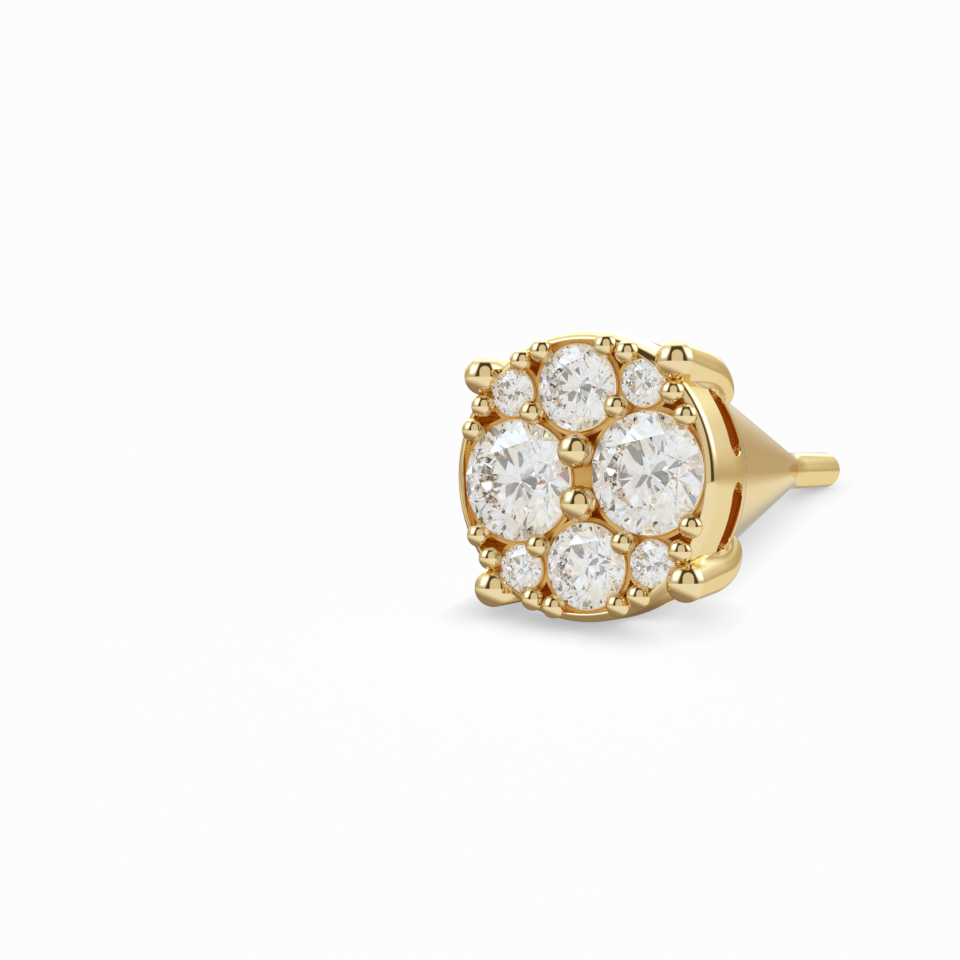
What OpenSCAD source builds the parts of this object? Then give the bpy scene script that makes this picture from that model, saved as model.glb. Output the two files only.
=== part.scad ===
// Cluster stud earring: eight round brilliant-cut stones held by beads and four claws
// in a round gold basket, whose hollow stem tapers into a straight post.
// The earring lies on a level floor on its bowl and the tip of its post.
// The modules work in the frame of the face: X to the right, Y down the face and
// Z backwards along the post, with the widest line of the stones at Z = 0.

/* [Stones] */
// Diameter of the two large stones, left and right
large_stone = 2.33; // [1.9:0.01:2.7]
// Diameter of the two medium stones, above and below
medium_stone = 1.65; // [1.3:0.05:1.95]
// Diameter of the four small stones in the corners
small_stone = 0.90; // [0.7:0.02:1.1]
// Width of the table as a share of the stone's diameter
table_share = 0.57; // [0.52:0.01:0.62]
// Slope of the crown's main facets, degrees
crown_angle = 34.5; // [32:0.5:36]
// Slope of the pavilion's main facets, degrees
pavilion_angle = 40.8; // [40:0.2:42]
// Height of the girdle as a share of the stone's diameter
girdle_share = 0.03; // [0.025:0.005:0.05]
// Free space between a stone and the metal around it
seat_clearance = 0.012; // [0.008:0.002:0.02]

/* [Layout] */
// Free width between the two large stones
bridge_gap = 0.48; // [0.44:0.02:0.6]
// Free width between a large and a medium stone
wide_gap = 0.23; // [0.2:0.01:0.3]
// Free width between a small and a medium stone
narrow_gap = 0.14; // [0.12:0.01:0.2]
// Free width between a small and a large stone
corner_gap = 0.10; // [0.09:0.01:0.16]

/* [Rim and bowl] */
// Free width between a large stone and the inside of the rim
rim_gap = 0.05; // [0.04:0.01:0.1]
// Width of the rim in front, from its inner edge to the outside of the wall
rim_width = 0.18; // [0.15:0.01:0.22]
// Height of the rim in front of the stones' widest line
rim_front = 0.10; // [0.06:0.01:0.16]
// Rounding of the rim's outer shoulder
shoulder_round = 0.35; // [0.25:0.01:0.4]
// Depth at which the straight wall goes over into the bowl
wall_depth = 0.90; // [0.7:0.05:1.1]
// Depth of the bowl's back edge
bowl_depth = 2.20; // [1.9:0.05:2.5]
// Thickness of the wall and bowl
wall_thickness = 0.36; // [0.3:0.02:0.5]

/* [Seat plate] */
// Depth of the plate's front face
plate_front = 0.07; // [0.05:0.01:0.1]
// Depth of the plate's back face
plate_back = 0.80; // [0.7:0.05:0.85]
// Width of the raised edge round each stone
collar_width = 0.06; // [0.045:0.005:0.07]
// Height of the raised edge in front of the stones' widest line
collar_front = 0.02; // [0:0.01:0.03]
// Width of the plate's front face left beside each stone
land_width = 0.13; // [0.11:0.01:0.16]
// Width of the plate's front face left along the inside of the rim
rim_ledge = 0.04; // [0.03:0.01:0.08]
// Depth to which the plate is relieved between the stones
relief_depth = 0.45; // [0.3:0.05:0.5]
// Bore behind a stone as a share of the stone's diameter
bore_share = 0.5; // [0.4:0.05:0.6]

/* [Slots] */
// Height of the slots, along the post
slot_height = 0.60; // [0.5:0.02:0.64]
// Width of the bars that part the slots halfway between the claws
slot_bar = 0.54; // [0.4:0.02:0.8]

/* [Beads] */
// Radius of the two centre beads
centre_bead = 0.368; // [0.34:0.004:0.4]
// How far the centre beads reach over the large stones' edges
bead_grip = 0.04; // [0.02:0.01:0.06]
// Radius of the four inner beads
inner_bead = 0.239; // [0.21:0.004:0.26]
// Radius of the sixteen outer beads
outer_bead = 0.22; // [0.19:0.005:0.24]
// Height of the centre and inner beads' middles in front of the stones' widest line
high_bead_front = 0.18; // [0.15:0.01:0.22]
// Height of the outer beads' middles in front of the stones' widest line
outer_bead_front = 0.09; // [0.06:0.01:0.14]
// Radius of the posts under the centre beads
centre_post = 0.27; // [0.22:0.01:0.3]
// Radius of the posts under the inner beads
inner_post = 0.155; // [0.12:0.005:0.16]

/* [Claws] */
// Radius of the claws, tip and arm
claw_radius = 0.378; // [0.32:0.01:0.42]
// Depth of the claw tips' middles
claw_depth = 0.05; // [0:0.01:0.1]
// How far the claw tips' middles stand outside the rim
claw_out = 0.15; // [0.1:0.01:0.25]
// Inward lean of a claw's straight stretch, degrees
claw_lean = 6.2; // [4:0.2:8]
// Length of a claw's straight stretch
claw_straight = 1.20; // [1:0.05:1.4]
// Bend radius of a claw's back stretch
claw_bend = 3.7; // [3.2:0.1:4.5]
// Inward slope at a claw's end, degrees
claw_end_slope = 29.6; // [24:0.2:32]

/* [Stem and post] */
// Width of the step between the bowl's back edge and the stem
stem_step = 0.05; // [0.04:0.01:0.12]
// Depth at which the stem's taper meets the post
stem_end = 9.95; // [9:0.05:11]
// Thickness of the hollow stem's wall
stem_wall = 0.36; // [0.3:0.02:0.5]
// Rounding between stem and post
stem_fillet = 4.0; // [2:0.5:5]
// Radius of the post
post_radius = 0.42; // [0.35:0.01:0.5]
// Depth of the post's tip
post_tip = 12.50; // [12:0.05:14]
// Rounding of the tip's edge
tip_round = 0.12; // [0.05:0.01:0.2]

/* [Resting pose] */
// Turn about the post's own axis, degrees
rest_roll = -10.4; // [-12:0.1:12]

/* [Hidden] */
$fn = 64;
// Extra reach of a cut beyond the metal, and overlap of joined outlines
cut = 0.5;
overlap = 0.01;
gold = [0.89, 0.72, 0.38];
ice = [0.93, 0.95, 0.97];

// Places of the stones' middles: each neighbour keeps its free width
large_x = (large_stone + bridge_gap) / 2;
large_to_medium = (large_stone + medium_stone) / 2 + wide_gap;
medium_y = sqrt(pow(large_to_medium, 2) - pow(large_x, 2));
small_to_medium = (small_stone + medium_stone) / 2 + narrow_gap;
small_to_large = (small_stone + large_stone) / 2 + corner_gap;
small_along = (pow(small_to_medium, 2) - pow(small_to_large, 2) + pow(large_to_medium, 2)) / (2 * large_to_medium);
small_off = sqrt(pow(small_to_medium, 2) - pow(small_along, 2));
small_x = (large_x * small_along + medium_y * small_off) / large_to_medium;
small_y = medium_y + (large_x * small_off - medium_y * small_along) / large_to_medium;

// Columns: x, y, diameter, turn of the facets about the stone's axis
STONES = [
  [-large_x, 0, large_stone, 8],
  [large_x, 0, large_stone, 14],
  [0, -medium_y, medium_stone, 3],
  [0, medium_y, medium_stone, 17],
  [-small_x, -small_y, small_stone, 5],
  [small_x, -small_y, small_stone, 20],
  [-small_x, small_y, small_stone, 11],
  [small_x, small_y, small_stone, 0]];

rim_inner = large_x + large_stone / 2 + rim_gap;
rim_radius = rim_inner + rim_width;
hollow_radius = rim_radius - wall_thickness;

// The bowl is part of a ball as wide as the rim, round the end of the straight wall
bowl_end_radius = sqrt(pow(rim_radius, 2) - pow(bowl_depth - wall_depth, 2));
stem_radius = bowl_end_radius - stem_step;
stem_slope = atan((stem_radius - post_radius) / (stem_end - bowl_depth));
fillet_run = stem_fillet * tan(stem_slope / 2);
bore_start = bowl_depth - 0.3;
bore_start_radius = stem_radius - stem_wall / cos(stem_slope) + (bowl_depth - bore_start) * tan(stem_slope);
bore_end_radius = 0.25;
bore_end = bore_start + (bore_start_radius - bore_end_radius) / tan(stem_slope);

// Slots: each runs from the bar between the quarters to the claw
claw_half_angle = asin(claw_radius / rim_radius);
bar_half_angle = asin(slot_bar / 2 / rim_radius);
slot_angle = (bar_half_angle + 45.5 - claw_half_angle) / 2;
slot_length = 2 * rim_radius * sin((45.5 - claw_half_angle - bar_half_angle) / 2);
slot_run = slot_length - slot_height;

// Centre beads reach a little over both large stones
centre_bead_y = sqrt(max(0.01, pow(large_stone / 2 + centre_bead - bead_grip, 2) - pow(large_x, 2)));
// Shares of the large, medium and small stone's middle in an inner bead's place
LARGE_SHARE = 0.249;
MEDIUM_SHARE = 0.351;
SMALL_SHARE = 0.400;
inner_bead_x = LARGE_SHARE * large_x + SMALL_SHARE * small_x;
inner_bead_y = MEDIUM_SHARE * medium_y + SMALL_SHARE * small_y;
// Columns: angle from the X axis, distance of the bead's middle inside the rim's outside
OUTER_BEADS = [
  [24.3, 0.27],
  [36.0, 0.25],
  [63.7, 0.21],
  [74.3, 0.22]];

// Path of a claw in its own plane: distance from the post's axis, depth
claw_start = [rim_radius + claw_out, claw_depth];
claw_knee = claw_start + claw_straight * [-sin(claw_lean), cos(claw_lean)];
claw_centre = claw_knee - claw_bend * [cos(claw_lean), sin(claw_lean)];
claw_end = claw_centre + claw_bend * [cos(claw_end_slope), sin(claw_end_slope)];

// Resting pose: the bowl and the post's tip touch the floor together
tip_reach = post_tip - tip_round - wall_depth;
tip_core = post_radius - tip_round;
rest_tilt = asin((rim_radius - tip_round) / norm([tip_reach, tip_core])) - atan(tip_core / tip_reach);
rest_lift = rim_radius + wall_depth * sin(rest_tilt);
bead_fall = OUTER_BEADS[3][0] + abs(rest_roll);
bead_front_reach = (rim_radius - OUTER_BEADS[3][1]) * sin(bead_fall) * sin(rest_tilt)
  + outer_bead_front * cos(rest_tilt) + outer_bead;
claw_front_reach = claw_start[0] * sin(45 + abs(rest_roll)) * sin(rest_tilt)
  - claw_depth * cos(rest_tilt) + claw_radius;
back_reach = (post_tip - tip_round) * cos(rest_tilt) + tip_core * sin(rest_tilt) + tip_round;
rest_shift = (max(bead_front_reach, claw_front_reach) - back_reach) / 2;

// Point of a stone at a radius, an angle and a height towards its table
function polar(r, a, h) = [r * cos(a), r * sin(a), h];
// Height at a place on the plane through three points
function plane_height(a, b, c, x, y) =
  let (n = cross(b - a, c - a))
  a[2] - (n[0] * (x - a[0]) + n[1] * (y - a[1])) / n[2];

// A round brilliant cut: table, 8 star, 8 kite and 16 upper facets, girdle,
// 16 lower facets and 8 mains that meet in a point
module brilliant(diameter, turn) {
  radius = diameter / 2;
  girdle = diameter * girdle_share / 2;
  table = radius * table_share;
  star = (table * cos(22.5) + radius) / 2;
  lower = radius * 0.24;
  crown_rise = tan(crown_angle);
  pavilion_fall = tan(pavilion_angle);
  star_height = girdle + (radius - star * cos(22.5)) * crown_rise;
  lower_height = -girdle - (radius - lower * cos(22.5)) * pavilion_fall;
  upper_mid = plane_height(polar(star, 22.5, star_height), polar(radius, 0, girdle),
    polar(radius, 22.5, girdle), radius * cos(11.25), radius * sin(11.25));
  lower_mid = plane_height(polar(lower, 22.5, lower_height), polar(radius, 0, -girdle),
    polar(radius, 22.5, -girdle), radius * cos(11.25), radius * sin(11.25));
  table_points = [for (k = [0:7]) polar(table, 45 * k, girdle + (radius - table) * crown_rise)];
  star_points = [for (k = [0:7]) polar(star, 45 * k + 22.5, star_height)];
  upper_points = [for (k = [0:31]) polar(radius, 11.25 * k, k % 2 == 0 ? girdle : upper_mid)];
  lower_points = [for (k = [0:31]) polar(radius, 11.25 * k, k % 2 == 0 ? -girdle : lower_mid)];
  deep_points = [for (k = [0:7]) polar(lower, 45 * k + 22.5, lower_height)];
  faces = concat(
    [[for (k = [7:-1:0]) k]],
    [for (k = [0:7]) [k, (k + 1) % 8, 8 + k]],
    [for (k = [0:7]) [k, 8 + k, 16 + 4 * k, 8 + (k + 7) % 8]],
    [for (k = [0:7]) [8 + k, 18 + 4 * k, 17 + 4 * k, 16 + 4 * k]],
    [for (k = [0:7]) [8 + k, 16 + (4 * k + 4) % 32, 19 + 4 * k, 18 + 4 * k]],
    [for (k = [0:31]) [16 + k, 16 + (k + 1) % 32, 48 + (k + 1) % 32, 48 + k]],
    [for (k = [0:7]) [80 + k, 48 + 4 * k, 49 + 4 * k, 50 + 4 * k]],
    [for (k = [0:7]) [80 + k, 50 + 4 * k, 51 + 4 * k, 48 + (4 * k + 4) % 32]],
    [for (k = [0:7]) [88, 80 + (k + 7) % 8, 48 + 4 * k, 80 + k]]);
  color(ice)
    mirror([0, 0, 1])
      rotate([0, 0, turn])
        polyhedron(concat(table_points, star_points, upper_points, lower_points, deep_points,
          [[0, 0, -girdle - radius * pavilion_fall]]), faces);
}

// Outline of the basket's outside: distance from the axis against depth
module basket_outside() {
  translate([0, shoulder_round - rim_front])
    square([rim_radius, wall_depth + rim_front - shoulder_round]);
  translate([0, -rim_front])
    square([rim_radius - shoulder_round, shoulder_round + overlap]);
  translate([rim_radius - shoulder_round, shoulder_round - rim_front])
    circle(shoulder_round);
  intersection() {
    translate([0, wall_depth])
      circle(rim_radius);
    translate([0, wall_depth - overlap])
      square([rim_radius, bowl_depth - wall_depth + overlap]);
  }
}
// Outline of the stem and post
module stem_outside() {
  polygon([
    [0, bore_start],
    [stem_radius + (bowl_depth - bore_start) * tan(stem_slope), bore_start],
    [post_radius, stem_end],
    [0, stem_end]]);
  translate([0, stem_end - overlap])
    square([post_radius, post_tip - tip_round - stem_end + overlap]);
  translate([0, post_tip - tip_round - overlap])
    square([tip_core, tip_round + overlap]);
  intersection() {
    translate([tip_core, post_tip - tip_round])
      circle(tip_round);
    translate([0, post_tip - 2 * tip_round])
      square(2 * tip_round + post_radius);
  }
  difference() {
    polygon([
      [post_radius - overlap, stem_end],
      [post_radius + fillet_run * sin(stem_slope), stem_end - fillet_run * cos(stem_slope)],
      [post_radius + stem_fillet, stem_end + fillet_run],
      [post_radius - overlap, stem_end + fillet_run]]);
    translate([post_radius + stem_fillet, stem_end + fillet_run])
      circle(stem_fillet);
  }
}
// Outline of the free space inside: front recess, basket and stem
module inside_space() {
  translate([0, -rim_front - cut])
    square([rim_inner, rim_front + cut + plate_front]);
  translate([0, plate_back])
    square([hollow_radius, wall_depth - plate_back]);
  intersection() {
    translate([0, wall_depth])
      circle(hollow_radius);
    translate([0, wall_depth - overlap])
      square([hollow_radius, bowl_depth - wall_depth]);
  }
  polygon([
    [0, bore_start],
    [bore_start_radius, bore_start],
    [bore_end_radius, bore_end],
    [0, bore_end]]);
}
// Rim, wall, seat plate, bowl, hollow stem and post in one turned body
module turned_body() {
  rotate_extrude()
    difference() {
      union() {
        basket_outside();
        stem_outside();
      }
      inside_space();
    }
}

// Turns the children to the four quarters between the claws
module each_quarter() {
  for (turn = [0, 90, 180, 270])
    rotate([0, 0, turn])
      children();
}
// Two long round-ended slots through the wall, on either side of the X axis
module slot_pair() {
  for (side = [-1, 1])
    rotate([0, 0, side * slot_angle])
      translate([hollow_radius - cut, 0, wall_depth + slot_height / 2])
        rotate([0, 90, 0])
          linear_extrude(wall_thickness + 2 * cut) {
            square([slot_height, slot_run], center = true);
            for (end = [-1, 1])
              translate([0, end * slot_run / 2])
                circle(slot_height / 2);
          }
}
// Relief of the seat plate: all but the lands round the stones and the bridge
module relief() {
  translate([0, 0, plate_front - overlap])
    linear_extrude(relief_depth + overlap)
      difference() {
        circle(rim_inner - rim_ledge);
        for (s = STONES)
          translate([s[0], s[1]])
            circle(s[2] / 2 + land_width);
        square([bridge_gap, 2 * centre_bead_y], center = true);
      }
}
// Raised edges round the stones, before the seats are cut
module collars() {
  for (s = STONES)
    translate([s[0], s[1], -collar_front])
      cylinder(r = s[2] / 2 + collar_width, h = plate_front + collar_front + 0.05);
}
// A bead: a ball on a post that stands on the seat plate
module bead(radius, post, front) {
  translate([0, 0, -front])
    sphere(radius);
  translate([0, 0, -front])
    cylinder(r = post, h = front + plate_front + relief_depth + 0.1);
}
// The centre and inner beads stand on thinner posts, the outer ones on posts as thick as themselves
module beads() {
  for (down = [-1, 1]) {
    translate([0, down * centre_bead_y, 0])
      bead(centre_bead, centre_post, high_bead_front);
    for (side = [-1, 1]) {
      translate([side * inner_bead_x, down * inner_bead_y, 0])
        bead(inner_bead, inner_post, high_bead_front);
      for (b = OUTER_BEADS)
        translate([side * (rim_radius - b[1]) * cos(b[0]), down * (rim_radius - b[1]) * sin(b[0]), 0])
          bead(outer_bead, outer_bead, outer_bead_front);
    }
  }
}
// A claw: round tip, straight arm along the wall, and a bend that closes on the bowl's back
module claw() {
  translate([claw_start[0], 0, claw_start[1]])
    sphere(claw_radius);
  translate([claw_start[0], 0, claw_start[1]])
    rotate([0, -claw_lean, 0])
      cylinder(r = claw_radius, h = claw_straight);
  translate([claw_centre[0], 0, claw_centre[1]])
    rotate([90, 0, 0])
      rotate([0, 0, claw_lean])
        rotate_extrude(angle = claw_end_slope - claw_lean)
          translate([claw_bend, 0])
            circle(claw_radius);
  translate([claw_end[0], 0, claw_end[1]])
    sphere(claw_radius);
}
// Space of a stone with its clearance, and the bore behind it
module seat(diameter) {
  wide = diameter / 2 + seat_clearance;
  girdle = diameter * girdle_share / 2 + seat_clearance;
  bore = diameter * bore_share / 2;
  table = diameter * table_share / 2 + seat_clearance;
  rotate_extrude()
    polygon([
      [0, -girdle - (wide - table) * tan(crown_angle)],
      [table, -girdle - (wide - table) * tan(crown_angle)],
      [wide, -girdle],
      [wide, girdle],
      [bore, girdle + (wide - bore) * tan(pavilion_angle)],
      [bore, plate_back + cut],
      [0, plate_back + cut]]);
}
// All the gold, soldered into one
module setting_body() {
  difference() {
    union() {
      difference() {
        turned_body();
        relief();
        each_quarter()
          slot_pair();
      }
      collars();
      beads();
      each_quarter()
        rotate([0, 0, 45])
          claw();
    }
    for (s = STONES)
      translate([s[0], s[1], 0])
        seat(s[2]);
  }
}

// Lays the earring on the floor
module resting() {
  translate([0, rest_shift, rest_lift])
    rotate([-90 - rest_tilt, 0, 0])
      rotate([0, 0, rest_roll])
        children();
}
module setting() {
  color(gold)
    resting()
      setting_body();
}
module stone(row) {
  resting()
    translate([STONES[row][0], STONES[row][1], 0])
      brilliant(STONES[row][2], STONES[row][3]);
}
module large_stone_left() {
  stone(0);
}
module large_stone_right() {
  stone(1);
}
module medium_stone_top() {
  stone(2);
}
module medium_stone_bottom() {
  stone(3);
}
module small_stone_top_left() {
  stone(4);
}
module small_stone_top_right() {
  stone(5);
}
module small_stone_bottom_left() {
  stone(6);
}
module small_stone_bottom_right() {
  stone(7);
}

setting();
large_stone_left();
large_stone_right();
medium_stone_top();
medium_stone_bottom();
small_stone_top_left();
small_stone_top_right();
small_stone_bottom_left();
small_stone_bottom_right();
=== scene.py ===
import math

import bpy
from mathutils import Matrix, Vector


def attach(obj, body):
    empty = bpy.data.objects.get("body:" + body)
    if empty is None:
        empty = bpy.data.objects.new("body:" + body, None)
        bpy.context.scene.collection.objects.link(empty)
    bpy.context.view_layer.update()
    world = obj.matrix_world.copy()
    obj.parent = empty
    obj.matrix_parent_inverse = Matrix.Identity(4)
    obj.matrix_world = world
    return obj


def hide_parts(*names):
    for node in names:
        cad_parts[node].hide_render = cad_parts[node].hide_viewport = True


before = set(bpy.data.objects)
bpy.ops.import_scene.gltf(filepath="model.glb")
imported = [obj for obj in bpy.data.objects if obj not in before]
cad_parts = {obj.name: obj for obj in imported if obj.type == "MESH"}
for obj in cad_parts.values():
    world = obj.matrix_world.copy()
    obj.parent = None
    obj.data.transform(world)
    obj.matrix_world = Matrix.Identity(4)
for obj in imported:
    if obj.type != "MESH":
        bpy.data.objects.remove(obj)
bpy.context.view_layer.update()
scene = bpy.context.scene
print("frame loaded:", len(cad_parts), "nodes")

tiny = 0.001  # mm, tells points on a plane from points beside it
mergeWithin = 0.0005  # mm, doubles that are nearer than this become one point
flat = 0.99  # a face whose normal leans to Z by more than this lies across the Z axis
smoothAngle = 30  # degrees, edges that are sharper than this stay sharp


def linearColour(hexCode):
    shares = [int(hexCode[i:i + 2], 16) / 255 for i in (1, 3, 5)]
    linear = [c / 12.92 if c <= 0.04045 else ((c + 0.055) / 1.055) ** 2.4 for c in shares]
    return (*linear, 1)


# inputs holds sockets to link from and plain values, by the name or number of the node's input
def addNode(tree, kind, inputs=(), **settings):
    node = tree.nodes.new(kind)
    for name, value in settings.items():
        setattr(node, name, value)
    for name, value in dict(inputs).items():
        if isinstance(value, bpy.types.NodeSocket):
            tree.links.new(value, node.inputs[name])
        else:
            node.inputs[name].default_value = value
    return node


def selectOnly(*objects):
    bpy.ops.object.select_all(action="DESELECT")
    for item in objects:
        item.select_set(True)
    if objects:
        bpy.context.view_layer.objects.active = objects[0]


def moveAndApply(piece, matrix):
    piece.matrix_world = matrix @ piece.matrix_world
    selectOnly(piece)
    bpy.ops.object.transform_apply()
    return piece


def copyTo(piece, matrix):
    selectOnly(piece)
    bpy.ops.object.duplicate()
    return moveAndApply(bpy.context.object, matrix)


def joinPieces(name, pieces):
    selectOnly(*pieces)
    bpy.ops.object.join()
    pieces[0].name = name
    return pieces[0]


def shapeWith(piece, tool, operation):
    change = piece.modifiers.new("shape", "BOOLEAN")
    change.operation = operation
    change.solver = "MANIFOLD"
    change.object = tool
    selectOnly(piece)
    bpy.ops.object.modifier_apply(modifier="shape")


def removePieces(*pieces):
    selectOnly(*pieces)
    bpy.ops.object.delete()


# points on an arc, angles in degrees from the first axis towards the second
def arcPoints(centre, radius, start, end, steps):
    turns = [math.radians(start + (end - start) * n / steps) for n in range(steps + 1)]
    return [(centre[0] + radius * math.cos(t), centre[1] + radius * math.sin(t)) for t in turns]


# a small plane is merged to one point, extruded along the outline and spun round the Z axis.
# The outline holds distance from the axis and depth.
def turnOutline(name, outline, steps):
    selectOnly()
    bpy.ops.mesh.primitive_plane_add(size=0.1, location=(outline[0][0], 0, outline[0][1]))
    piece = bpy.context.object
    piece.name = name
    bpy.ops.object.transform_apply()
    bpy.ops.object.mode_set(mode="EDIT")
    bpy.ops.mesh.merge(type="CENTER")
    for (r0, z0), (r1, z1) in zip(outline, outline[1:]):
        bpy.ops.mesh.extrude_vertices_move(
            TRANSFORM_OT_translate={"value": (r1 - r0, 0, z1 - z0)})
    bpy.ops.mesh.select_all(action="SELECT")
    bpy.ops.mesh.spin(steps=steps, angle=2 * math.pi, center=(0, 0, 0), axis=(0, 0, 1))
    bpy.ops.mesh.select_all(action="SELECT")
    bpy.ops.mesh.remove_doubles(threshold=mergeWithin)
    bpy.ops.mesh.normals_make_consistent(inside=False)
    bpy.ops.object.mode_set(mode="OBJECT")
    return piece


# The gold is modelled in the frame of the face, in millimetres: X to the right, Y down the face
# and Z backwards along the post, with the stones' widest line at Z 0. layDown sets it on the floor.
pose = {"tilt": 11.9986, "roll": -10.4, "shift": -5.7249, "lift": 2.9871}
layDown = (
    Matrix.Scale(0.001, 4)
    @ Matrix.Translation((0, pose["shift"], pose["lift"]))
    @ Matrix.Rotation(math.radians(-90 - pose["tilt"]), 4, "X")
    @ Matrix.Rotation(math.radians(pose["roll"]), 4, "Z"))

# seats of the stones: a cutter as wide as the stone and its clearance, with the bore behind it
stones = {
    "clearance": 0.012,
    "girdleShare": 0.03,
    "tableShare": 0.57,
    "crownAngle": 34.5,
    "pavilionAngle": 40.8,
    "boreShare": 0.5,
    "boreEnd": 1.3,
    "steps": 128,
    "places": {
        2.33: [(-1.405, 0), (1.405, 0)],
        1.65: [(0, -1.71883), (0, 1.71883)],
        0.90: [(x, y) for x in (-1.41499, 1.41499) for y in (-1.71497, 1.71497)],
    },
}


def seatOutline(diameter):
    wide = diameter / 2 + stones["clearance"]
    girdle = diameter * stones["girdleShare"] / 2 + stones["clearance"]
    table = diameter * stones["tableShare"] / 2 + stones["clearance"]
    bore = diameter * stones["boreShare"] / 2
    front = -girdle - (wide - table) * math.tan(math.radians(stones["crownAngle"]))
    back = girdle + (wide - bore) * math.tan(math.radians(stones["pavilionAngle"]))
    return [(0, front), (table, front), (wide, -girdle), (wide, girdle), (bore, back),
            (bore, stones["boreEnd"]), (0, stones["boreEnd"])]


seatCutters = []
for diameter, places in stones["places"].items():
    first = turnOutline("seat", seatOutline(diameter), stones["steps"])
    seatCutters += [copyTo(first, Matrix.Translation((x, y, 0))) for x, y in places]
    removePieces(first)
seats = joinPieces("seats", seatCutters)
print("seats of the stones ready")

# basket: rim, wall and bowl, with the hollow stem that tapers into the post
basket = {
    "rim": 2.80,
    "rimInner": 2.62,
    "rimFront": -0.10,
    "innerEdge": 0.03,  # rounding of the rim's inner edge
    "shoulder": 0.27,
    "wallDepth": 0.90,
    "bowlDepth": 2.20,
    "wall": 0.36,
    "stemStep": 0.05,
    "stemEnd": 9.95,
    "stemWall": 0.36,
    "fillet": 4.0,
    "post": 0.42,
    "tip": 12.50,
    "tipRound": 0.12,
    "boreLead": 0.3,  # the stem's bore starts this far in front of the bowl's end
    "boreEndRadius": 0.25,
    "hollowStop": 0.01,  # the bowl's hollow meets the bore this far in front of the bowl's end
    "steps": 256,
    "hollowSteps": 192,
    "arcSteps": {"edge": 7, "shoulder": 18, "bowl": 24, "fillet": 16, "tip": 8, "hollow": 20},
}
plate = {
    "front": 0.07,
    "floor": 0.52,
    "back": 0.80,
    "ledge": 0.04,
    "land": 0.13,
    "landEdge": 0.018,
    "collar": 0.045,
    "collarFront": 0.03,
    "collarEdge": 0.018,
    "bridgeWidth": 0.48,
    "bridgeLength": 1.01,
    "overlap": 0.1,  # lands and bridge run this far into the metal that carries them
    "steps": 160,
    "edgeSteps": 3,
}
rim = basket["rim"]
wallDepth = basket["wallDepth"]
arcSteps = basket["arcSteps"]
ledgeRadius = basket["rimInner"] - plate["ledge"]
shoulderMiddle = (rim - basket["shoulder"], basket["rimFront"] + basket["shoulder"])
bowlEnd = math.sqrt(rim ** 2 - (basket["bowlDepth"] - wallDepth) ** 2)
bowlAngle = math.degrees(math.asin((basket["bowlDepth"] - wallDepth) / rim))
stem = bowlEnd - basket["stemStep"]
slope = math.atan((stem - basket["post"]) / (basket["stemEnd"] - basket["bowlDepth"]))
filletRun = basket["fillet"] * math.tan(slope / 2)

edge = basket["innerEdge"]
edgeRadius = basket["rimInner"] + edge - shoulderMiddle[0]
edgeDepth = math.sqrt((basket["shoulder"] - edge) ** 2 - edgeRadius ** 2)
turnOver = math.degrees(math.atan2(edgeDepth, edgeRadius))
outline = [(0, plate["floor"]), (ledgeRadius, plate["floor"]), (ledgeRadius, plate["front"]),
           (basket["rimInner"], plate["front"])]
outline += arcPoints((basket["rimInner"] + edge, shoulderMiddle[1] - edgeDepth), edge,
                     180, 360 - turnOver, arcSteps["edge"])
outline += arcPoints(shoulderMiddle, basket["shoulder"], -turnOver, 0, arcSteps["shoulder"])[1:]
outline += arcPoints((0, wallDepth), rim, 0, bowlAngle, arcSteps["bowl"])
outline += [(stem, basket["bowlDepth"])]
outline += arcPoints((basket["post"] + basket["fillet"], basket["stemEnd"] + filletRun),
                     basket["fillet"], 180 + math.degrees(slope), 180, arcSteps["fillet"])
outline += arcPoints((basket["post"] - basket["tipRound"], basket["tip"] - basket["tipRound"]),
                     basket["tipRound"], 0, 90, arcSteps["tip"])
outline += [(0, basket["tip"])]
basketPiece = turnOutline("basket_stem_and_post", outline, basket["steps"])

hollow = rim - basket["wall"]
hollowEnd = basket["bowlDepth"] - basket["hollowStop"]
hollowAngle = math.degrees(math.asin((hollowEnd - wallDepth) / hollow))
boreStart = basket["bowlDepth"] - basket["boreLead"]
boreStartRadius = (stem - basket["stemWall"] / math.cos(slope)
                   + basket["boreLead"] * math.tan(slope))
boreEnd = boreStart + (boreStartRadius - basket["boreEndRadius"]) / math.tan(slope)
inside = [(0, plate["back"]), (hollow, plate["back"])]
inside += arcPoints((0, wallDepth), hollow, 0, hollowAngle, arcSteps["hollow"])
inside += [(boreStartRadius - (hollowEnd - boreStart) * math.tan(slope), hollowEnd),
           (basket["boreEndRadius"], boreEnd), (0, boreEnd)]
insideCutter = turnOutline("inside", inside, basket["hollowSteps"])
shapeWith(basketPiece, insideCutter, "DIFFERENCE")
removePieces(insideCutter)
print("basket, stem and post turned")

# slots through the wall: a round-ended cutter, copied to both sides of each bar
slots = {
    "middle": 1.20,
    "height": 0.54,
    "lip": 0.09,
    "lipTurns": (0, 18, 36, 54),  # the lip stops short, so that its outer edge stays sharp
    "flare": 0.051,  # and runs on straight to this far outside it
    "bar": 0.54,  # metal between two slots, halfway between the claws
    "claw": 0.50,  # metal kept on each side of a claw's middle
    "clawAngle": 45.5,
    "inward": 0.5,  # the cutter's reach inside the wall, and past its outside
    "outward": 0.4,
    "clear": 0.02,
    "steps": 96,
    "cuts": 12,
    "bars": (0, 90, 180, 270),
}
clawHalf = math.degrees(math.asin(slots["claw"] / rim))
barHalf = math.degrees(math.asin(slots["bar"] / 2 / rim))
slotAngle = (barHalf + slots["clawAngle"] - clawHalf) / 2
slotLength = 2 * rim * math.sin(math.radians(slots["clawAngle"] - clawHalf - barHalf) / 2)
halfHeight = slots["height"] / 2
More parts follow.
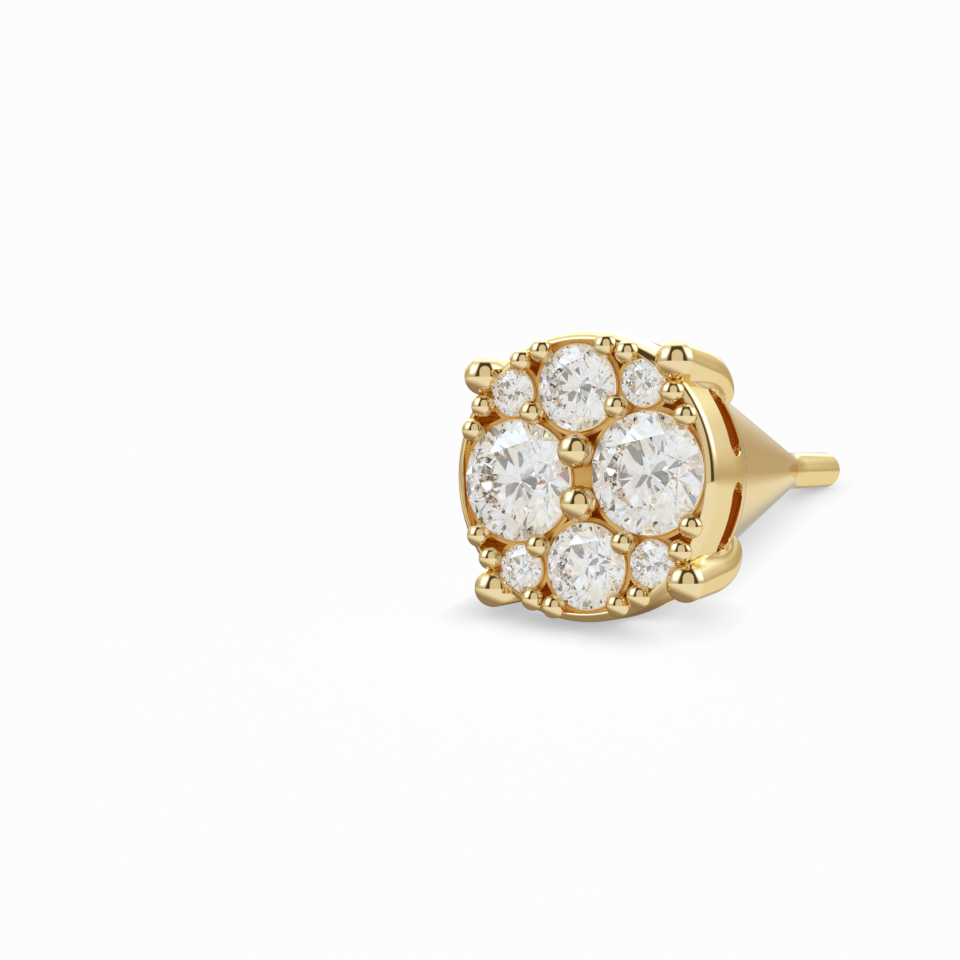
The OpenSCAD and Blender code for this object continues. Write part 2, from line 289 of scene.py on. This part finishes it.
halfRun = (slotLength - slots["height"]) / 2
lip = slots["lip"]
slotOutline = [(0, hollow - slots["inward"]), (halfHeight, hollow - slots["inward"])]
for turn in slots["lipTurns"]:
    t = math.radians(turn)
    slotOutline.append((halfHeight + lip * (1 - math.cos(t)), rim - lip + lip * math.sin(t)))
flare = slotOutline[-1][0] + slots["flare"]
slotOutline += [(flare, rim + slots["clear"]), (flare, rim + slots["outward"]),
                (0, rim + slots["outward"])]
slotCutter = turnOutline("slot", slotOutline, slots["steps"])
moveAndApply(slotCutter, Matrix.Rotation(math.pi / 2, 4, "Y"))
bpy.ops.object.mode_set(mode="EDIT")
bpy.ops.mesh.select_all(action="SELECT")
bpy.ops.mesh.bisect(plane_co=(0, 0, 0), plane_no=(0, 1, 0))
bpy.ops.mesh.select_all(action="DESELECT")
bpy.ops.object.mode_set(mode="OBJECT")
# its halves are drawn apart, and the long edges between them are cut up so that they can bend
for direction in (-1, 1):
    for vertex in slotCutter.data.vertices:
        vertex.select = vertex.co.y * direction > tiny
    for part in list(slotCutter.data.edges) + list(slotCutter.data.polygons):
        part.select = False
    bpy.ops.object.mode_set(mode="EDIT")
    bpy.ops.transform.translate(value=(0, direction * halfRun, 0))
    bpy.ops.mesh.select_all(action="DESELECT")
    bpy.ops.object.mode_set(mode="OBJECT")
corners = slotCutter.data.vertices
for stretch in slotCutter.data.edges:
    one, other = stretch.vertices
    stretch.select = abs(corners[one].co.y - corners[other].co.y) > halfRun * 0.9
bpy.ops.object.mode_set(mode="EDIT")
bpy.ops.mesh.subdivide(number_cuts=slots["cuts"])
bpy.ops.object.mode_set(mode="OBJECT")
# the cutter is wrapped round the wall, so that its lip is as deep all along the slot
for vertex in slotCutter.data.vertices:
    reach, turn = vertex.co.x, vertex.co.y / rim
    vertex.co.x, vertex.co.y = reach * math.cos(turn), reach * math.sin(turn)
slotCutters = []
for barAngle in slots["bars"]:
    for sign in (-1, 1):
        turn = Matrix.Rotation(math.radians(barAngle + sign * slotAngle), 4, "Z")
        slotCutters.append(
            copyTo(slotCutter, Matrix.Translation((0, 0, slots["middle"])) @ turn))
removePieces(slotCutter)
slotCutters = joinPieces("slots", slotCutters)
shapeWith(basketPiece, slotCutters, "DIFFERENCE")
removePieces(slotCutters)
print("slots cut")

# seat plate: lands and raised collars round the stones, and the bridge between the large ones
additions = []
for diameter, places in stones["places"].items():
    rings = (
        (diameter / 2 + plate["land"], plate["front"], plate["floor"] + plate["overlap"],
         plate["landEdge"]),
        (diameter / 2 + plate["collar"], plate["collarFront"], plate["floor"],
         plate["collarEdge"]))
    for x, y in places:
        for radius, front, back, soft in rings:
            selectOnly()
            bpy.ops.mesh.primitive_cylinder_add(
                vertices=plate["steps"], radius=radius, depth=back - front,
                location=(x, y, (front + back) / 2))
            ring = bpy.context.object
            bpy.ops.object.transform_apply()
            bpy.ops.object.mode_set(mode="EDIT")
            bpy.ops.mesh.select_all(action="DESELECT")
            bpy.ops.object.mode_set(mode="OBJECT")
            for face in ring.data.polygons:
                face.select = face.normal.z < -flat
            bpy.ops.object.mode_set(mode="EDIT")
            bpy.ops.mesh.region_to_loop()
            bpy.ops.mesh.bevel(offset=soft, segments=plate["edgeSteps"])
            bpy.ops.object.mode_set(mode="OBJECT")
            additions.append(ring)
selectOnly()
bpy.ops.mesh.primitive_cube_add(
    size=1, location=(0, 0, (plate["front"] + plate["floor"] + plate["overlap"]) / 2))
bridge = bpy.context.object
bridge.scale = (plate["bridgeWidth"] + plate["overlap"], plate["bridgeLength"],
                plate["floor"] + plate["overlap"] - plate["front"])
bpy.ops.object.transform_apply()
additions.append(bridge)
for item in additions:
    shapeWith(basketPiece, item, "UNION")
removePieces(*additions)
shapeWith(basketPiece, seats, "DIFFERENCE")
print("seat plate shaped:", len(basketPiece.data.polygons), "faces")

# beads: a ball on its post, one of each kind turned and copied, then cut back to the stones' seats
beads = {
    "sink": 0.08,  # the posts end this far behind the floor between the lands
    "arcSteps": 36,
    "steps": 72,
    "outerPlaces": ((24.3, 0.284), (36.0, 0.264), (63.7, 0.226), (74.3, 0.236)),  # angle, inset
    "kinds": {
        "centre": {"radius": 0.352, "front": 0.18, "post": 0.27,
                   "places": [(0, -0.504999), (0, 0.504999)]},
        "inner": {"radius": 0.239, "front": 0.18, "post": 0.155,
                  "places": [(x, y) for x in (-0.915843, 0.915843) for y in (-1.2893, 1.2893)]},
        "outer": {"radius": 0.234, "front": 0.076, "post": 0.22, "places": []},
    },
}
for turn, inset in beads["outerPlaces"]:
    x = (rim - inset) * math.cos(math.radians(turn))
    y = (rim - inset) * math.sin(math.radians(turn))
    beads["kinds"]["outer"]["places"] += [(sx * x, sy * y) for sx in (-1, 1) for sy in (-1, 1)]
allBeads = []
postEnd = plate["floor"] + beads["sink"]
for kind in beads["kinds"].values():
    back = math.degrees(math.acos(kind["post"] / kind["radius"]))
    shape = arcPoints((0, -kind["front"]), kind["radius"], -90, back, beads["arcSteps"])
    first = turnOutline("bead", shape + [(kind["post"], postEnd), (0, postEnd)], beads["steps"])
    allBeads += [copyTo(first, Matrix.Translation((x, y, 0))) for x, y in kind["places"]]
    removePieces(first)
beadPiece = joinPieces("beads", allBeads)
shapeWith(beadPiece, seats, "DIFFERENCE")
print("beads set:", len(allBeads))

# claws: a ball and an arm that widens backwards, spun round the bend and closed with a round end.
# bend and its centre belong to the claw's outside, which keeps its line as the arm widens.
claw = {
    "radius": 0.377,
    "armRadius": 0.45,
    "out": 0.149,
    "depth": 0.05,
    "lean": 6.2,
    "straight": 1.20,
    "bend": 3.7,
    "endSlope": 29.6,
    "fillet": 0.11,  # the arm's sides spread by this much where they meet the basket
    "filletHeight": 0.12,
    "filletRun": 0.3,  # the fillet grows over this distance from the ball and the arm's middle
    "segments": 96,
    "ballSteps": 24,
    "armSteps": 8,
    "bendSteps": 20,
    "endSteps": 8,
    "turns": (45, 135, 225, 315),
}
lean, endSlope = math.radians(claw["lean"]), math.radians(claw["endSlope"])
start = Vector((rim + claw["out"], 0, claw["depth"]))
bendCentre = (start + claw["straight"] * Vector((-math.sin(lean), 0, math.cos(lean)))
              - claw["bend"] * Vector((math.cos(lean), 0, math.sin(lean))))
middleBend = claw["bend"] + claw["radius"] - claw["armRadius"]
knee = bendCentre + middleBend * Vector((math.cos(lean), 0, math.sin(lean)))
clawEnd = bendCentre + middleBend * Vector((math.cos(endSlope), 0, math.sin(endSlope)))
armWay = knee - start
armShape = arcPoints((0, 0), claw["radius"], -90, 0, claw["ballSteps"])
for n in range(1, claw["armSteps"] + 1):
    share = n / claw["armSteps"]
    armShape.append((claw["radius"] + (claw["armRadius"] - claw["radius"]) * share,
                     armWay.length * share))
arm = turnOutline("arm", armShape, claw["segments"])
moveAndApply(arm, Matrix.Translation(start)
             @ Matrix.Rotation(math.atan2(armWay.x, armWay.z), 4, "Y"))
selectOnly(arm)
bpy.ops.object.mode_set(mode="EDIT")
bpy.ops.mesh.select_all(action="DESELECT")
bpy.ops.mesh.select_mode(type="EDGE")
bpy.ops.mesh.select_non_manifold()
bpy.ops.mesh.spin(steps=claw["bendSteps"], angle=endSlope - lean, center=bendCentre,
                  axis=(0, 1, 0))
clawAway = Vector((-math.sin(endSlope), 0, math.cos(endSlope)))
ringCentre = clawEnd.copy()
for n in range(1, claw["endSteps"]):
    before = math.radians(90 * (n - 1) / claw["endSteps"])
    now = math.radians(90 * n / claw["endSteps"])
    step = clawAway * claw["armRadius"] * (math.sin(now) - math.sin(before))
    bpy.ops.mesh.extrude_region_move(TRANSFORM_OT_translate={"value": step})
    ringCentre += step
    bpy.ops.transform.resize(value=(math.cos(now) / math.cos(before),) * 3,
                             center_override=ringCentre)
lastStep = clawAway * claw["armRadius"] * (1 - math.sin(now))
bpy.ops.mesh.extrude_region_move(TRANSFORM_OT_translate={"value": lastStep})
bpy.ops.mesh.merge(type="CENTER")
bpy.ops.mesh.select_all(action="SELECT")
bpy.ops.mesh.remove_doubles(threshold=mergeWithin)
bpy.ops.mesh.normals_make_consistent(inside=False)
bpy.ops.object.mode_set(mode="OBJECT")
# close to the basket the arm's sides run out in a fillet, as where two cast parts meet
for vertex in arm.data.vertices:
    x, y, z = vertex.co
    above = math.hypot(x, y, max(0, z - wallDepth)) - rim
    behindBall = z - claw["radius"] / 2
    if behindBall > 0 and above < claw["filletHeight"]:
        spread = claw["fillet"] * (1 - max(above, 0) / claw["filletHeight"]) ** 2
        spread *= min(1, behindBall / claw["filletRun"]) * min(1, abs(y) / claw["filletRun"])
        vertex.co.y += math.copysign(spread, y)
claws = [copyTo(arm, Matrix.Rotation(math.radians(turn), 4, "Z")) for turn in claw["turns"]]
removePieces(arm)
clawPiece = joinPieces("claws", claws)
shapeWith(clawPiece, seats, "DIFFERENCE")
removePieces(seats)
print("claws bent:", [round(v, 3) for v in clawPiece.dimensions])

# the gold has four finishes: 0 polished, 1 brushed, 2 cast, 3 bright-cut, and the last three also
# carry painted bounce light in their colour and glow. Beads and claws are polished all over, and
# each face of the basket gets its finish by its place.
finishAndBounceLightPlaces = {
    "castBeyond": 0.01,  # the cast inside is looked for this far outside the hollow's own size
    "seatBeyond": 0.004,
    "brightFrom": 0.04,  # bright-cut walls of the seats start at this depth
    "steep": 0.95,  # and are steeper than this, by how far their normals lean to Z
    "brushedFrom": 0.02,
    "rimBeyond": 0.002,
}
seatPlaces = [(x, y, diameter / 2 + stones["clearance"] + finishAndBounceLightPlaces["seatBeyond"])
              for diameter, places in stones["places"].items() for x, y in places]
goldPieces = (basketPiece, beadPiece, clawPiece)
for piece in goldPieces:
    piece.data.materials.clear()
    for n in range(4):
        piece.data.materials.append(None)
for face in basketPiece.data.polygons:
    x, y, z = face.center
    radius = math.hypot(x, y)
    inSeat = any(math.hypot(x - sx, y - sy) < reach for sx, sy, reach in seatPlaces)
    if (plate["back"] - tiny < z < boreEnd + finishAndBounceLightPlaces["castBeyond"]
            and radius < hollow + finishAndBounceLightPlaces["castBeyond"]):
        inward = face.normal.x * x + face.normal.y * y < 0 or abs(face.normal.z) > flat
        face.material_index = 2 if inward else 0
    elif (inSeat and finishAndBounceLightPlaces["brightFrom"] < z < plate["back"]
            and abs(face.normal.z) < finishAndBounceLightPlaces["steep"]):
        face.material_index = 3
    elif (finishAndBounceLightPlaces["brushedFrom"] < z < plate["back"]
            and radius < basket["rimInner"] - finishAndBounceLightPlaces["rimBeyond"]):
        face.material_index = 1

for piece in goldPieces:
    selectOnly(piece)
    bpy.ops.object.shade_smooth_by_angle(angle=math.radians(smoothAngle))
    moveAndApply(piece, layDown)
    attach(piece, "root")
    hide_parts("setting")
    piece.data.calc_loop_triangles()
    print(piece.name, "triangles:", len(piece.data.loop_triangles))

# camera: azimuth, elevation and distance round the pivot, right and up aim it beside the pivot
shot = {
    "azimuth": 31.25,
    "elevation": 14.93,
    "distance": 0.042846,
    "right": -0.00194,
    "up": -0.0000588,
    "lens": 83.7,
    "sensor": 36,
    "pivot": (0, -0.0057249, 0.0029871),
}
azimuth, elevation = math.radians(shot["azimuth"]), math.radians(shot["elevation"])
rightward = Vector((math.cos(azimuth), math.sin(azimuth), 0))
forward = Vector((-math.sin(azimuth) * math.cos(elevation),
                  math.cos(azimuth) * math.cos(elevation), -math.sin(elevation)))
upward = rightward.cross(forward)
target = Vector(shot["pivot"]) + rightward * shot["right"] + upward * shot["up"]
cameraData = bpy.data.cameras.new("camera")
cameraData.lens = shot["lens"]
cameraData.sensor_width = shot["sensor"]
cameraData.clip_start = 0.001
cameraData.clip_end = 10
camera = bpy.data.objects.new("camera", cameraData)
camera.matrix_world = Matrix.Translation(target - forward * shot["distance"]) @ Matrix(
    (rightward, upward, -forward)).transposed().to_4x4()
scene.collection.objects.link(camera)
scene.camera = camera
print("camera placed")

# studio: every panel is placed by where a polished ball shows it, X across and Y up, from -1 to 1,
# so that it can be read off the beads. Pairs of limits are where a panel or a tone starts and
# where it is full, and towards, side and height are shares of a direction from the piece.
studio = {
    "middle": 0.07,  # the panels stand on both sides of this X
    "lean": 0.36,  # and their sides slant inwards as they rise
    "horizon": -0.035,
    "horizonBlur": 0.11,  # widens the table's far edge towards the sides
    "leastBlur": 0.005,
    "horizonTone": 0.62,  # brightness of the room at the level of the table
    "upperTone": 0.95,
    "upperLimits": (0.20, 0.60),
    "tableTone": 1.0,  # the white table, and the piece's own shade on it
    "shadeTone": 0.36,
    "shadeLimits": (-0.55, -0.95),
    "shadeSlant": 0.4,  # the shade lies lower to the right
    "shadeShift": -0.20,
    "sideBoxes": {"inner": 0.50, "outer": 0.96, "low": -0.02, "high": 0.68, "power": 0.85,
                  "soft": (0.14, 0.20, 0.30, 0.24)},  # soft edges: inner, outer, low, high
    "cards": {"inner": 0.58, "outer": 0.88, "low": 0.04, "high": 0.56, "power": 0.30,
              "soft": (0.12, 0.18, 0.2, 0.2)},
    "topBox": {"outer": 0.62, "low": 0.71, "softOuter": 0.17, "softLow": 0.09, "power": 0.45},
    "arch": {"foot": 0.51, "top": 0.70, "edge": 0.035, "tone": (0.090, 0.067, 0.034)},
    "window": {"width": 0.285, "top": 0.52, "edge": 0.15, "tone": (0.82, 0.8036, 0.738)},
    # the white wall behind the piece adds its tone, the dark end low behind it leaves its tone
    "backWall": {"tone": 0.75, "towards": (-0.84, -0.91), "height": (0.16, 0.26),
                 "side": (0.44, 0.34)},
    "darkEnd": {"tone": 0.55, "towards": (-0.80, -0.95), "side": (0.40, 0.25),
                "height": (0.12, 0.0)},
    # dim corners of the room are warm and bright panels cool, with all between in proportion
    "dimTint": {"tone": 0.5, "green": 0.87, "blue": 0.68},
    "brightTint": {"tone": 1.5, "green": 1.28, "blue": 1.62},
    "stoneTint": (0.85, 0.88, 0.905),  # the room as the stones gather it, through many facets
    "stoneArchTone": (0.19, 0.19, 0.19),
}
world = bpy.data.worlds.new("studio")
world.use_nodes = True
scene.world = world
tree = world.node_tree
tree.nodes.clear()
direction = addNode(tree, "ShaderNodeTexCoord").outputs["Generated"]
shares = {}
for name, axis in (("towards", -forward), ("side", rightward), ("height", upward)):
    shares[name] = addNode(tree, "ShaderNodeVectorMath", {0: direction, 1: tuple(axis)},
                           operation="DOT_PRODUCT").outputs["Value"]
# a ball shows a direction at its side and height, divided by the root of 2 + 2 * towards,
# which is kept above zero
near = addNode(tree, "ShaderNodeMath", {0: shares["towards"], 1: 2.0, 2: 2.0},
               operation="MULTIPLY_ADD").outputs[0]
near = addNode(tree, "ShaderNodeMath", {0: near, 1: 0.001}, operation="MAXIMUM").outputs[0]
spread = addNode(tree, "ShaderNodeMath", {0: near}, operation="SQRT").outputs[0]
ballX = addNode(tree, "ShaderNodeMath", {0: shares["side"], 1: spread},
                operation="DIVIDE").outputs[0]
ballY = addNode(tree, "ShaderNodeMath", {0: shares["height"], 1: spread},
                operation="DIVIDE").outputs[0]
fromMiddle = addNode(tree, "ShaderNodeMath", {0: ballX, 1: studio["middle"]},
                     operation="SUBTRACT").outputs[0]
fromMiddle = addNode(tree, "ShaderNodeMath", {0: fromMiddle}, operation="ABSOLUTE").outputs[0]
slant = addNode(tree, "ShaderNodeMath", {0: ballY, 1: studio["lean"], 2: fromMiddle},
                operation="MULTIPLY_ADD").outputs[0]


# 0 to 1 as a value passes from low to high, for each (value, low, high), all multiplied
def litWithin(*limits):
    product = None
    for value, low, high in limits:
        step = addNode(tree, "ShaderNodeMapRange",
                       {"Value": value, "From Min": low, "From Max": high},
                       interpolation_type="SMOOTHSTEP").outputs["Result"]
        if product:
            step = addNode(tree, "ShaderNodeMath", {0: product, 1: step},
                           operation="MULTIPLY").outputs[0]
        product = step
    return product


# tone of the room above the table: walls, side boxes, cards, top box and the wall behind
tone = litWithin((ballY, *studio["upperLimits"]))
tone = addNode(
    tree, "ShaderNodeMath",
    {0: tone, 1: studio["upperTone"] - studio["horizonTone"], 2: studio["horizonTone"]},
    operation="MULTIPLY_ADD").outputs[0]
for panel in (studio["sideBoxes"], studio["cards"]):
    inner, outer, low, high = panel["soft"]
    light = litWithin(
        (slant, panel["inner"], panel["inner"] + inner),
        (slant, panel["outer"], panel["outer"] - outer),
        (ballY, panel["low"], panel["low"] + low),
        (ballY, panel["high"], panel["high"] - high))
    tone = addNode(tree, "ShaderNodeMath", {0: light, 1: panel["power"], 2: tone},
                   operation="MULTIPLY_ADD").outputs[0]
top = studio["topBox"]
light = litWithin((fromMiddle, top["outer"], top["outer"] - top["softOuter"]),
                  (ballY, top["low"], top["low"] + top["softLow"]))
tone = addNode(tree, "ShaderNodeMath", {0: light, 1: top["power"], 2: tone},
               operation="MULTIPLY_ADD").outputs[0]
backWall = studio["backWall"]
light = litWithin(*((shares[name], *backWall[name]) for name in ("towards", "height", "side")))
tone = addNode(tree, "ShaderNodeMath", {0: light, 1: backWall["tone"], 2: tone},
               operation="MULTIPLY_ADD").outputs[0]

# the dark arch over the table, and the dim round-topped window that stands in it
arch, window = studio["arch"], studio["window"]
archSides = (slant, arch["foot"] + arch["edge"], arch["foot"] - arch["edge"])
archMask = litWithin(archSides, (ballY, arch["top"] + arch["edge"], arch["top"] - arch["edge"]))
across = addNode(tree, "ShaderNodeMath", {0: fromMiddle, 1: window["width"]},
                 operation="DIVIDE").outputs[0]
across = addNode(tree, "ShaderNodeMath", {0: across, 1: 2.0}, operation="POWER").outputs[0]
along = addNode(tree, "ShaderNodeMath", {0: ballY, 1: 0.0}, operation="MAXIMUM").outputs[0]
along = addNode(tree, "ShaderNodeMath", {0: along, 1: window["top"]},
                operation="DIVIDE").outputs[0]
along = addNode(tree, "ShaderNodeMath", {0: along, 1: 4.0}, operation="POWER").outputs[0]
bow = addNode(tree, "ShaderNodeMath", {0: across, 1: along}, operation="ADD").outputs[0]
windowMask = litWithin((bow, 1 + window["edge"], 1 - window["edge"]), archSides)

# the table: below the horizon, with the piece's shade
shade = addNode(tree, "ShaderNodeMath",
                {0: ballX, 1: studio["shadeSlant"], 2: studio["shadeShift"]},
                operation="MULTIPLY_ADD").outputs[0]
shade = addNode(tree, "ShaderNodeMath", {0: shade, 1: ballY}, operation="ADD").outputs[0]
shadeStart, shadeFull = studio["shadeLimits"]
table = addNode(tree, "ShaderNodeMapRange",
                {"Value": shade, "From Min": shadeStart, "From Max": shadeFull,
                 "To Min": studio["tableTone"], "To Max": studio["shadeTone"]},
                interpolation_type="SMOOTHSTEP").outputs["Result"]
blur = addNode(tree, "ShaderNodeMath", {0: fromMiddle, 1: 4.0}, operation="POWER").outputs[0]
blur = addNode(tree, "ShaderNodeMath",
               {0: blur, 1: studio["horizonBlur"], 2: studio["leastBlur"]},
               operation="MULTIPLY_ADD").outputs[0]
drop = addNode(tree, "ShaderNodeMath", {0: ballY, 1: studio["horizon"]},
               operation="SUBTRACT").outputs[0]
drop = addNode(tree, "ShaderNodeMath", {0: drop, 1: blur}, operation="DIVIDE").outputs[0]
onTable = litWithin((drop, 1.0, -1.0))
aboveTable = addNode(tree, "ShaderNodeMath", {0: 1.0, 1: onTable},
                     operation="SUBTRACT").outputs[0]
tone = addNode(tree, "ShaderNodeMix", {0: onTable, 2: tone, 3: table}).outputs[0]

# colours of the room, for the gold and for the stones
dim, bright = studio["dimTint"], studio["brightTint"]
channels = {"Red": tone}
for channel in ("green", "blue"):
    tint = addNode(tree, "ShaderNodeMapRange",
                   {"Value": tone, "From Min": dim["tone"], "From Max": bright["tone"],
                    "To Min": dim[channel], "To Max": bright[channel]}).outputs["Result"]
    channels[channel.title()] = addNode(tree, "ShaderNodeMath", {0: tone, 1: tint},
                                        operation="MULTIPLY").outputs[0]
room = addNode(tree, "ShaderNodeCombineColor", channels).outputs[0]
gathered = addNode(tree, "ShaderNodeVectorMath", {0: studio["stoneTint"], "Scale": tone},
                   operation="SCALE").outputs["Vector"]
throughStone = addNode(tree, "ShaderNodeLightPath").outputs["Is Transmission Ray"]
room = addNode(tree, "ShaderNodeMix", {0: throughStone, 6: room, 7: gathered},
               data_type="RGBA").outputs[2]
archTone = addNode(
    tree, "ShaderNodeMix",
    {0: throughStone, 6: arch["tone"] + (1,), 7: studio["stoneArchTone"] + (1,)},
    data_type="RGBA").outputs[2]
for mask, colour in ((archMask, archTone), (windowMask, window["tone"] + (1,))):
    mask = addNode(tree, "ShaderNodeMath", {0: mask, 1: aboveTable},
                   operation="MULTIPLY").outputs[0]
    room = addNode(tree, "ShaderNodeMix", {0: mask, 6: room, 7: colour},
                   data_type="RGBA").outputs[2]
darkEnd = studio["darkEnd"]
dark = litWithin(*((shares[name], *darkEnd[name]) for name in ("towards", "side", "height")))
strength = addNode(tree, "ShaderNodeMath", {0: dark, 1: darkEnd["tone"] - 1, 2: 1.0},
                   operation="MULTIPLY_ADD").outputs[0]
background = addNode(tree, "ShaderNodeBackground", {"Color": room, "Strength": strength})
addNode(tree, "ShaderNodeOutputWorld", {"Surface": background.outputs[0]})
world.cycles_visibility.diffuse = False  # it shows in gold and stones alone, as the paper glows
print("studio lit")

# floor: matt white paper that glows evenly, with a painted contact shadow that dims its glow close
# to where the gold stands over it. Gold and stones mirror the studio's table in its place.
paper = {
    "size": 2.0,
    "colour": "#e7e7e7",
    "roughness": 0.6,
    "tone": 0.98,
    "contactTone": 0.20,
    "reach": 0.0009,
    "fade": 0.7,
    "lightFrom": (0.60, -0.21, 0.77),  # the shadow is drawn out away from this
    "samples": 8,
}
selectOnly()
bpy.ops.mesh.primitive_plane_add(size=paper["size"])
floor = bpy.context.object
floor.name = "floor"
floor.visible_glossy = False
floor.visible_transmission = False
whitePaper = bpy.data.materials.new("white paper")
whitePaper.use_nodes = True
tree = whitePaper.node_tree
lightFrom = addNode(tree, "ShaderNodeCombineXYZ", dict(zip("XYZ", paper["lightFrom"])))
# painted contact shadow: the glow is dimmed by how much gold is near, looked for round a leaning
# normal
nearby = addNode(tree, "ShaderNodeAmbientOcclusion",
                 {"Distance": paper["reach"], "Normal": lightFrom.outputs["Vector"]},
                 samples=paper["samples"]).outputs["AO"]
nearby = addNode(tree, "ShaderNodeMath", {0: nearby, 1: paper["fade"]},
                 operation="POWER").outputs[0]
light = addNode(tree, "ShaderNodeMapRange",
                {"Value": nearby, "To Min": paper["contactTone"], "To Max": paper["tone"]})
shader = tree.nodes["Principled BSDF"]
shader.inputs["Base Color"].default_value = linearColour(paper["colour"])
shader.inputs["Roughness"].default_value = paper["roughness"]
shader.inputs["Specular IOR Level"].default_value = 0.0
shader.inputs["Emission Color"].default_value = (1, 1, 1, 1)
tree.links.new(light.outputs["Result"], shader.inputs["Emission Strength"])
floor.data.materials.append(whitePaper)

# Polished gold mirrors the room with hard edges, as it is wherever a wheel reaches. Between the
# stones it is brushed and duller, and the cast inside is matt. The brushed and cast golds are also
# painted a deeper, more orange colour than the polished one. That is painted bounce light for the
# recesses, where light goes from wall to wall. The bright-cut walls of the seats are painted near
# white, a painted pale light that shows through the stones. The last three glow faintly, which
# stands for light that has gone from wall to wall: orange in the hollow, and as pale as the stones
# on the bright-cut walls of their seats.
finishes = {
    "polished 14k yellow gold": {
        "colour": "#ebd2a0", "roughness": 0.05, "glow": "#000000", "strength": 0},
    # painted bounce light: a deeper, more orange colour and an orange glow between the stones
    "brushed 14k yellow gold with painted bounce light": {
        "colour": "#deb26a", "roughness": 0.32, "glow": "#a85e18", "strength": 0.10},
    # painted bounce light: an orange colour and glow in the hollow
    "cast 14k yellow gold with painted bounce light": {
        "colour": "#e0a850", "roughness": 0.45, "glow": "#c07a38", "strength": 0.18},
    # painted pale light: a near-white colour and glow on the seat walls behind the stones
    "bright-cut 14k yellow gold with painted pale light": {
        "colour": "#f8f1e2", "roughness": 0.15, "glow": "#f0ece6", "strength": 0.25},
}
grazingColour = "#f4e2bc"  # gold is paler where it is seen from the side
golds = []
for name, finish in finishes.items():
    material = bpy.data.materials.new(name)
    material.use_nodes = True
    shader = material.node_tree.nodes["Principled BSDF"]
    shader.inputs["Base Color"].default_value = linearColour(finish["colour"])
    shader.inputs["Metallic"].default_value = 1
    shader.inputs["Roughness"].default_value = finish["roughness"]
    shader.inputs["Specular Tint"].default_value = linearColour(grazingColour)
    shader.inputs["Emission Color"].default_value = linearColour(finish["glow"])
    shader.inputs["Emission Strength"].default_value = finish["strength"]
    golds.append(material)
for piece in goldPieces:
    for n, material in enumerate(golds):
        piece.data.materials[n] = material

# diamond is clear and bends light so strongly that its back facets mirror it: white and grey
# flashes, with the gold's colour only near the edge
brilliant = {"colour": "#ffffff", "roughness": 0.0, "ior": 2.417}
diamond = bpy.data.materials.new("brilliant-cut diamond")
diamond.use_nodes = True
shader = diamond.node_tree.nodes["Principled BSDF"]
shader.inputs["Base Color"].default_value = linearColour(brilliant["colour"])
shader.inputs["Transmission Weight"].default_value = 1
shader.inputs["Roughness"].default_value = brilliant["roughness"]
shader.inputs["IOR"].default_value = brilliant["ior"]
for name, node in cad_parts.items():
    if name != "setting":
        node.data.materials.clear()
        node.data.materials.append(diamond)
print("finishes and stones dressed")

scene.view_settings.view_transform = "Standard"
scene.cycles.max_bounces = 24
scene.cycles.glossy_bounces = 16
scene.cycles.transmission_bounces = 20
scene.cycles.caustics_reflective = False
